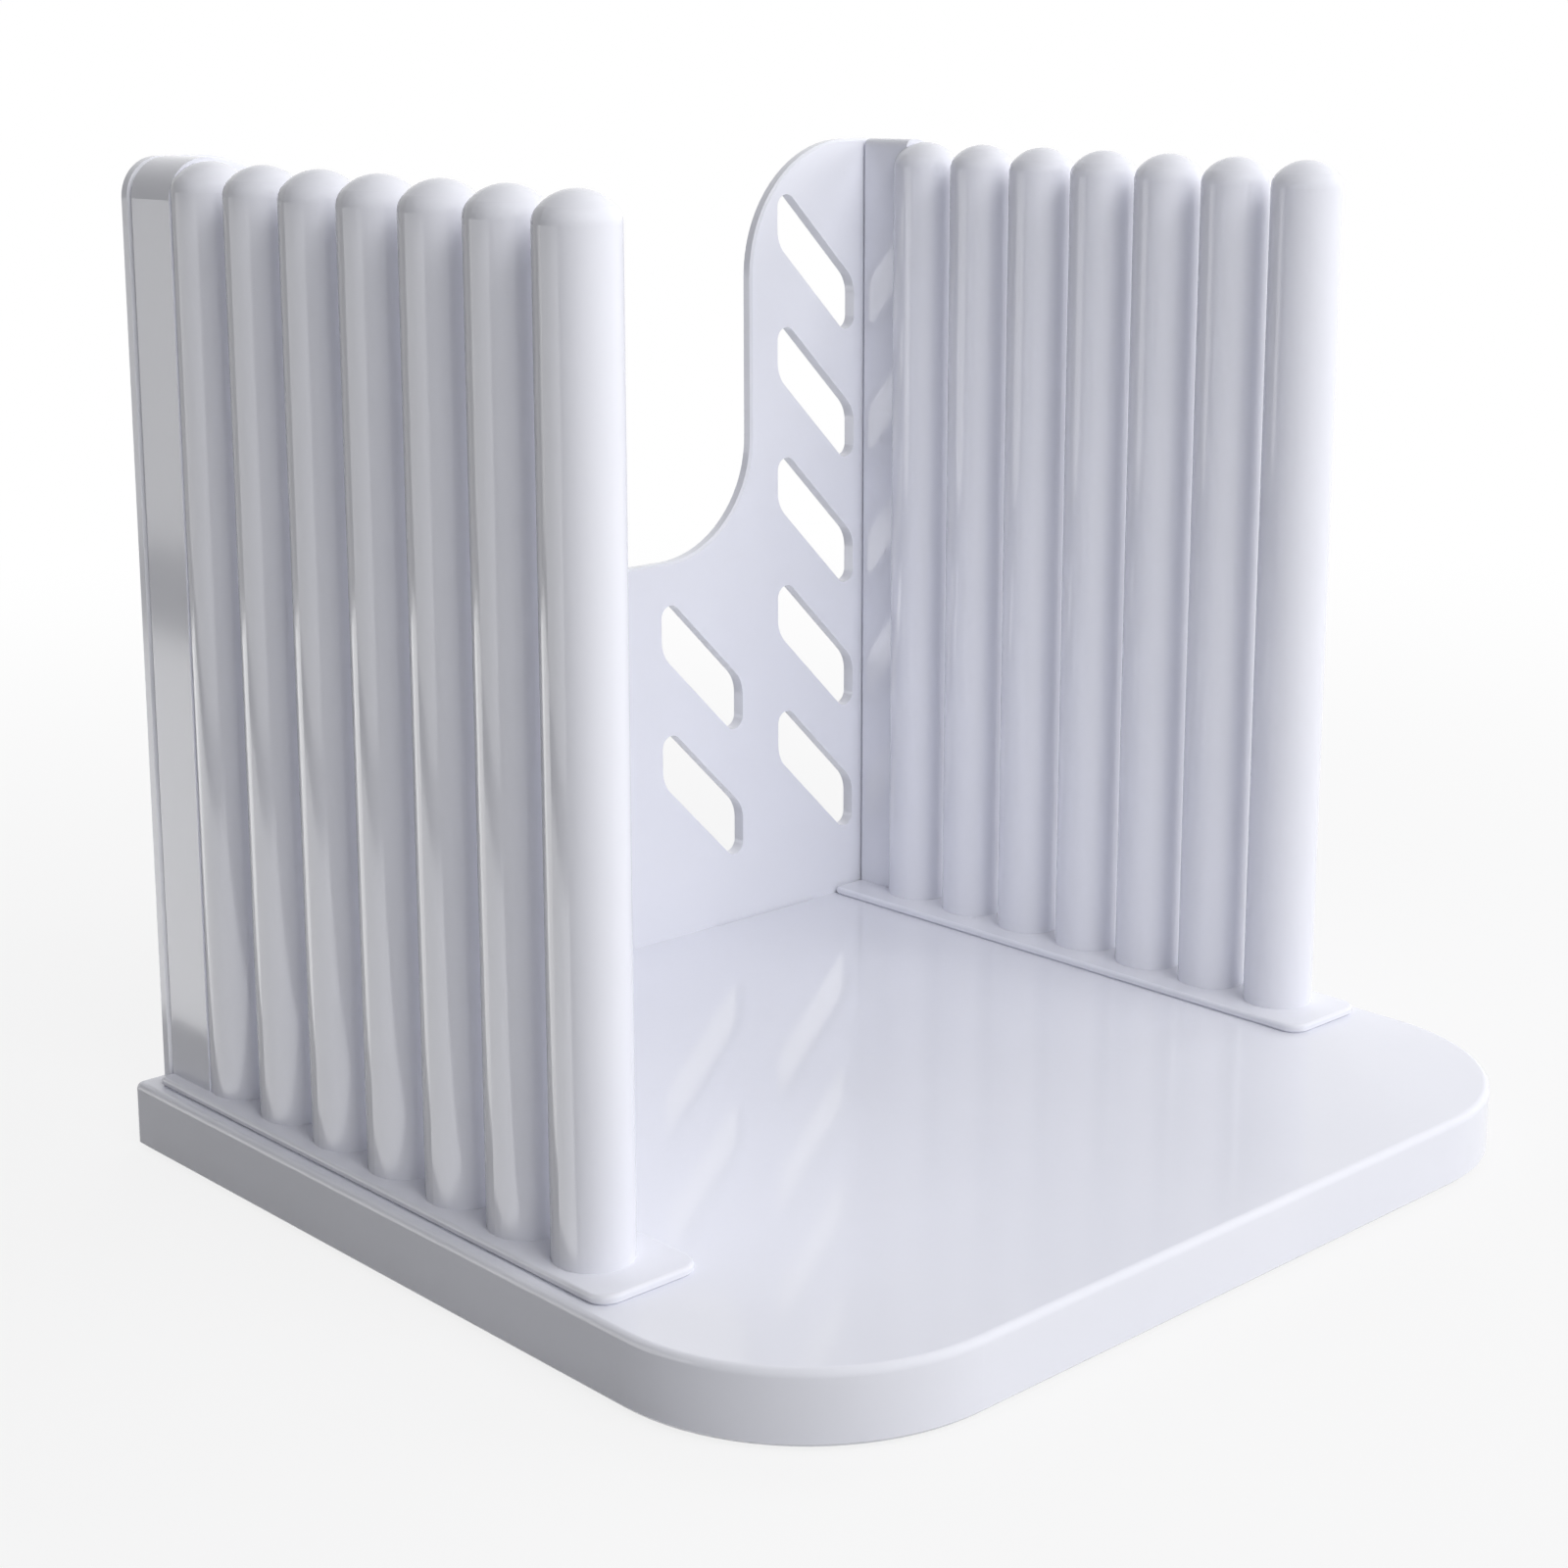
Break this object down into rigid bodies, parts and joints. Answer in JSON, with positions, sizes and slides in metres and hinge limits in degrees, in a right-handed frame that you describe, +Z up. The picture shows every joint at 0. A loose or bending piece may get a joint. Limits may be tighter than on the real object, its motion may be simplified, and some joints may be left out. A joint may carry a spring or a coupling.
{
  "type": "bread slicer guide",
  "caption": "Table-top guide for slicing a loaf: upright combs steer the knife over a flat base, and a slotted plate stops the loaf.",
  "frame": {"origin": "on the table, under the middle of the base", "axes": "+X across the guide to its right side, +Y from the open front to the back plate, +Z up"},
  "size_m": [0.155, 0.139, 0.1413],
  "materials": {
    "white_plastic": "gloss",
    "rubber": "matte"
  },
  "bodies": {
    "base": {"base": "white_plastic", "foot_front_left": "rubber", "foot_front_right": "rubber", "foot_rear_left": "rubber", "foot_rear_right": "rubber"},
    "left_comb": {"left_comb": "white_plastic"},
    "right_comb": {"right_comb": "white_plastic"},
    "back_plate": {"back_plate": "white_plastic"}
  },
  "joints": [
    {"name": "left_comb_lift", "type": "slide", "parent": "base", "child": "left_comb", "axis": [0, 0, 1], "range_m": [0, 0.15]},
    {"name": "right_comb_lift", "type": "slide", "parent": "base", "child": "right_comb", "axis": [0, 0, 1], "range_m": [0, 0.15]},
    {"name": "back_plate_lift", "type": "slide", "parent": "base", "child": "back_plate", "axis": [0, 0, 1], "range_m": [0, 0.15]}
  ]
}
